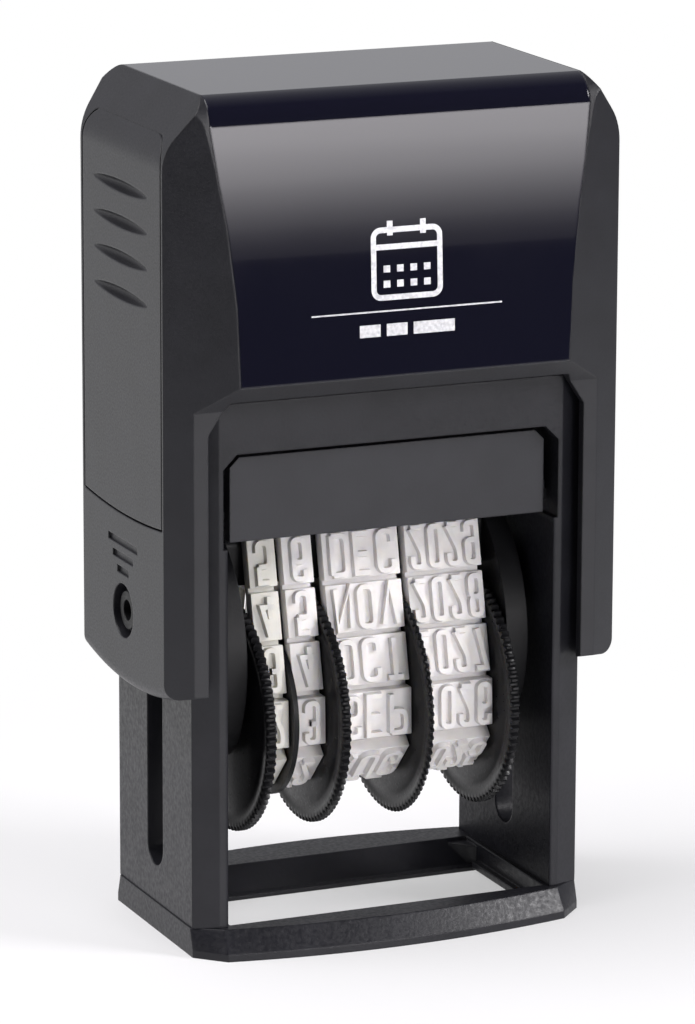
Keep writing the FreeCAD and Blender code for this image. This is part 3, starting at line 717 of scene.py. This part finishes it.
def straight(x0, z0, x1, z1, pieces=8):
    shares = [piece / pieces for piece in range(pieces + 1)]
    return [(x0 + (x1 - x0) * share, z0 + (z1 - z0) * share) for share in shares]


def rounded_rectangle(half_x, low, high, radius):
    """A closed path with quarter-circle corners, at x from -half_x to half_x."""
    centres = [
        (half_x - radius, high - radius, 0),
        (-half_x + radius, high - radius, 90),
        (-half_x + radius, low + radius, 180),
        (half_x - radius, low + radius, 270),
    ]
    corners = []
    for centre_x, centre_z, start in centres:
        turns = [math.radians(start + 15 * step) for step in range(7)]
        corners.append([(centre_x + radius * math.cos(t), centre_z + radius * math.sin(t)) for t in turns])
    path = []
    for index, corner in enumerate(corners):
        path += corner
        following = corners[(index + 1) % 4]
        path += straight(*corner[-1], *following[0], pieces=6)[1:-1]
    return path


def print_strokes():
    """A plain calendar page over a thin rule, with three short bars under it: (path, width, closed)."""
    middle = 60.4 * MM
    rule_z = middle - 1.6 * MM
    page_low, page_high = middle - 0.4 * MM, middle + 5.6 * MM
    half = 3.2 * MM
    strokes = [
        (rounded_rectangle(half, page_low, page_high, 0.7 * MM), 0.5 * MM, True),
        (straight(-half, page_high - 1.5 * MM, half, page_high - 1.5 * MM), 0.5 * MM, False),
        (straight(-1.6 * MM, page_high - 0.5 * MM, -1.6 * MM, page_high + 0.8 * MM, 3), 0.55 * MM, False),
        (straight(1.6 * MM, page_high - 0.5 * MM, 1.6 * MM, page_high + 0.8 * MM, 3), 0.55 * MM, False),
        (straight(-9.2 * MM, rule_z, 9.2 * MM, rule_z, 12), 0.14 * MM, False),
    ]
    for row in range(2):
        for column in range(4):
            x = (-1.95 + 1.3 * column) * MM
            z = page_low + (1.2 + 1.35 * row) * MM
            strokes.append((straight(x - 0.32 * MM, z, x + 0.32 * MM, z, 2), 0.62 * MM, False))
    bar_z = rule_z - 1.7 * MM
    for x0, x1 in ((-4.6, -2.6), (-2.0, 0.0), (0.6, 4.6)):
        strokes.append((straight(x0 * MM, bar_z, x1 * MM, bar_z, 3), 1.1 * MM, False))
    return strokes


def make_cover_print(material):
    """The print as one thin object that rides on the cap."""
    vertices, faces = [], []
    for path, width, closed in print_strokes():
        points, quads = stroke(path, width, closed)
        start = len(vertices)
        vertices += points
        faces += [tuple(start + corner for corner in quad) for quad in quads]
    mesh = bpy.data.meshes.new("cover_print")
    mesh.from_pydata([tuple(v) for v in vertices], [], faces)
    print_mark = add_object("cover_print", mesh, material, "cap")
    thicken = print_mark.modifiers.new("thickness", "SOLIDIFY")
    thicken.thickness = PRINT_GAP
    thicken.offset = 0.0


# ---- Floor, light and background ----
def make_floor():
    """A white table that fades to pure white away from the stamp and reaches further behind it."""
    count, radius = 96, 0.42
    middle_x, middle_y = -0.05, 0.25
    turns = [2 * math.pi * step / count for step in range(count)]
    rim = [(middle_x + radius * math.cos(t), middle_y + radius * math.sin(t), 0.0) for t in turns]
    mesh = bpy.data.meshes.new("floor")
    mesh.from_pydata(rim, [], [tuple(range(count))])
    floor = bpy.data.objects.new("floor", mesh)
    bpy.context.scene.collection.objects.link(floor)
    material, nodes, links = new_material("floor_white")
    shader = nodes["Principled BSDF"]
    shader.inputs["Base Color"].default_value = (0.82, 0.81, 0.83, 1.0)
    shader.inputs["Roughness"].default_value = 0.7
    shader.inputs["Specular IOR Level"].default_value = 0.1
    place = nodes.new("ShaderNodeTexCoord")
    reach = nodes.new("ShaderNodeVectorMath")
    reach.operation = "LENGTH"
    links.new(place.outputs["Object"], reach.inputs[0])
    glow = nodes.new("ShaderNodeEmission")
    mix = nodes.new("ShaderNodeMixShader")
    fade = spread(nodes, links, reach.outputs["Value"], 0.45, 1.0, 0.03, 0.11, "SMOOTHSTEP")
    links.new(fade, mix.inputs["Fac"])
    links.new(shader.outputs["BSDF"], mix.inputs[1])
    links.new(glow.outputs["Emission"], mix.inputs[2])
    links.new(mix.outputs["Shader"], nodes["Material Output"].inputs["Surface"])
    mesh.materials.append(material)


def make_light(name, place, size, power):
    """A soft rectangular light that faces the stamp."""
    data = bpy.data.lights.new(name, "AREA")
    data.shape = "RECTANGLE"
    data.size, data.size_y = size
    data.energy = power
    data.color = (1.0, 0.985, 1.0)
    lamp = bpy.data.objects.new(name, data)
    lamp.location = place
    lamp.rotation_mode = "QUATERNION"
    middle = Vector((0.0, 0.0, 0.04))
    lamp.rotation_quaternion = (middle - Vector(place)).to_track_quat("-Z", "Y")
    bpy.context.scene.collection.objects.link(lamp)


def make_world():
    """White where the camera sees it; for light and reflections, bright behind and dim in front."""
    world = bpy.data.worlds.new("studio")
    bpy.context.scene.world = world
    world.use_nodes = True
    nodes, links = world.node_tree.nodes, world.node_tree.links
    nodes.clear()
    out = nodes.new("ShaderNodeOutputWorld")
    seen = nodes.new("ShaderNodeBackground")
    seen.inputs["Color"].default_value = (1.0, 1.0, 1.0, 1.0)
    seen.inputs["Strength"].default_value = 1.05
    lit = nodes.new("ShaderNodeBackground")
    lit.inputs["Strength"].default_value = 1.0
    place = nodes.new("ShaderNodeTexCoord")
    split = nodes.new("ShaderNodeSeparateXYZ")
    links.new(place.outputs["Generated"], split.inputs["Vector"])
    ramp = nodes.new("ShaderNodeValToRGB")
    ramp.color_ramp.elements[0].position = 0.35
    ramp.color_ramp.elements[0].color = (0.03, 0.03, 0.034, 1.0)
    ramp.color_ramp.elements[1].position = 0.95
    ramp.color_ramp.elements[1].color = (0.5, 0.5, 0.52, 1.0)
    remap = nodes.new("ShaderNodeMapRange")
    remap.inputs["From Min"].default_value = -1.0
    links.new(split.outputs["Y"], remap.inputs["Value"])
    links.new(remap.outputs["Result"], ramp.inputs["Fac"])
    links.new(ramp.outputs["Color"], lit.inputs["Color"])
    path = nodes.new("ShaderNodeLightPath")
    mix = nodes.new("ShaderNodeMixShader")
    links.new(path.outputs["Is Camera Ray"], mix.inputs["Fac"])
    links.new(lit.outputs["Background"], mix.inputs[1])
    links.new(seen.outputs["Background"], mix.inputs[2])
    links.new(mix.outputs["Shader"], out.inputs["Surface"])


def make_lights():
    make_light("overhead", (-0.3, 0.05, 0.75), (0.5, 0.7), 5.5)
    make_light("left_side", (-0.7, 0.25, 0.25), (0.5, 0.6), 1.8)
    make_light("front_right", (0.78, -0.6, 0.55), (0.35, 0.35), 9.0)
    make_light("front_low", (0.2, -0.95, 0.12), (0.25, 0.25), 3.6)


def make_glow_card():
    """A card in front, not seen by the camera, that fades from dark below to bright above."""
    away, half, low, high = 0.9, 0.35, -0.01, 0.14
    facing = Vector((0.388, -0.922, 0.0))
    across = Vector((0.922, 0.388, 0.0))
    spots = ((-1, low), (1, low), (1, high), (-1, high))
    corners = [facing * away + across * half * side + Vector((0.0, 0.0, z)) for side, z in spots]
    card = bpy.data.objects.new("glow_card", mesh_from("glow_card", corners, [(0, 1, 2, 3)]))
    bpy.context.scene.collection.objects.link(card)
    material, nodes, links = new_material("glow_card")
    nodes.clear()
    out = nodes.new("ShaderNodeOutputMaterial")
    glow = nodes.new("ShaderNodeEmission")
    glow.inputs["Color"].default_value = (1.0, 0.965, 0.99, 1.0)
    place = nodes.new("ShaderNodeTexCoord")
    split = nodes.new("ShaderNodeSeparateXYZ")
    links.new(place.outputs["Object"], split.inputs["Vector"])
    fade = spread(nodes, links, split.outputs["Z"], 0.3, 5.75, low, high, "SMOOTHSTEP")
    links.new(fade, glow.inputs["Strength"])
    links.new(glow.outputs["Emission"], out.inputs["Surface"])
    card.data.materials.append(material)
    card.visible_camera = False
    card.visible_shadow = False


# ---- Putting it together ----
WALL_INSIDE = 16.0 * MM
WINDOW_TOP = 37.2 * MM


def make_plastics():
    """The moulded plastics: cap, frame, foot, cartridge, platen and wheels."""
    charcoal = moulded_plastic(
        "charcoal_moulded", (0.009, 0.009, 0.012), (0.013, 0.013, 0.017), 0.42, 5200.0, 0.00002, 0.00022,
        shine=0.45,
    )
    sparked = ((0.009, 0.009, 0.012), (0.014, 0.014, 0.018), 0.42, 2600.0, 0.00005, 0.00022, 0.05)
    frame_plastic = moulded_plastic("frame_sparked", *sparked)
    # painted shade on the frame's inner surfaces
    painted_inner_shade(frame_plastic, WALL_INSIDE, WINDOW_TOP)
    foot_plastic = moulded_plastic("foot_sparked", *sparked)
    bar = moulded_plastic(
        "bar_moulded", (0.020, 0.020, 0.024), (0.025, 0.025, 0.030), 0.44, 4800.0, 0.00002, 0.00018
    )
    platen = moulded_plastic(
        "platen_moulded", (0.005, 0.005, 0.006), (0.009, 0.009, 0.010), 0.42, 3600.0, 0.00004, 0.00015,
        shine=0.22,
    )
    wheel = moulded_plastic(
        "wheel_moulded", (0.005, 0.005, 0.006), (0.008, 0.008, 0.009), 0.34, 3200.0, 0.00001, shine=0.2
    )
    return charcoal, frame_plastic, foot_plastic, bar, platen, wheel


def paint_nodes(charcoal, frame_plastic, foot_plastic, bar, platen, wheel, steel):
    for node in ("cap_shell", "grip_left", "grip_right"):
        paint(node, charcoal)
    paint("base_frame", frame_plastic)
    paint("foot_ring", foot_plastic)
    for node in ("platen_end_left", "platen_end_right", "die_plate", "date_anvil"):
        paint(node, platen)
    paint("ink_cartridge", bar)
    paint("window_cover", gloss_plastic())
    paint("insert_card", insert_card())
    paint("ink_pad", inked_felt())
    paint("text_die", die_rubber())
    paint("wheel_axle", steel)
    paint("band_separator", wheel)


def make_bands():
    """The four bands, each with its letter width and the distance from letter to letter."""
    ivory = band_rubber("rubber_ivory", (0.75, 0.725, 0.715), (0.83, 0.805, 0.795))
    # painted shade: a darker, warmer copy of the ivory rubber, so the day-tens band renders dimmer than the
    # other bands under the same lamps
    shaded_ivory = band_rubber("rubber_ivory_painted_shade", (0.62, 0.605, 0.56), (0.70, 0.685, 0.64))
    make_band("day_tens_band", TENS, 1.5 * MM, 0.0, shaded_ivory)
    make_band("day_ones_band", ONES, 1.5 * MM, 0.0, ivory)
    make_band("month_band", MONTHS, 1.85 * MM, 2.3 * MM, ivory)
    make_band("year_band", YEARS, 1.45 * MM, 1.82 * MM, ivory)


def main():
    make_camera()
    make_world()
    make_floor()
    make_lights()
    make_glow_card()
    plastics = make_plastics()
    steel = drawn_steel()
    paint_nodes(*plastics, steel)
    make_bands()
    for node in ("day_tens_wheel", "day_ones_wheel", "month_wheel", "year_wheel"):
        make_wheel(node, plastics[-1])
    make_spring(steel)
    make_cover_print(silver_print())
    bpy.context.scene.view_settings.view_transform = "Standard"


main()
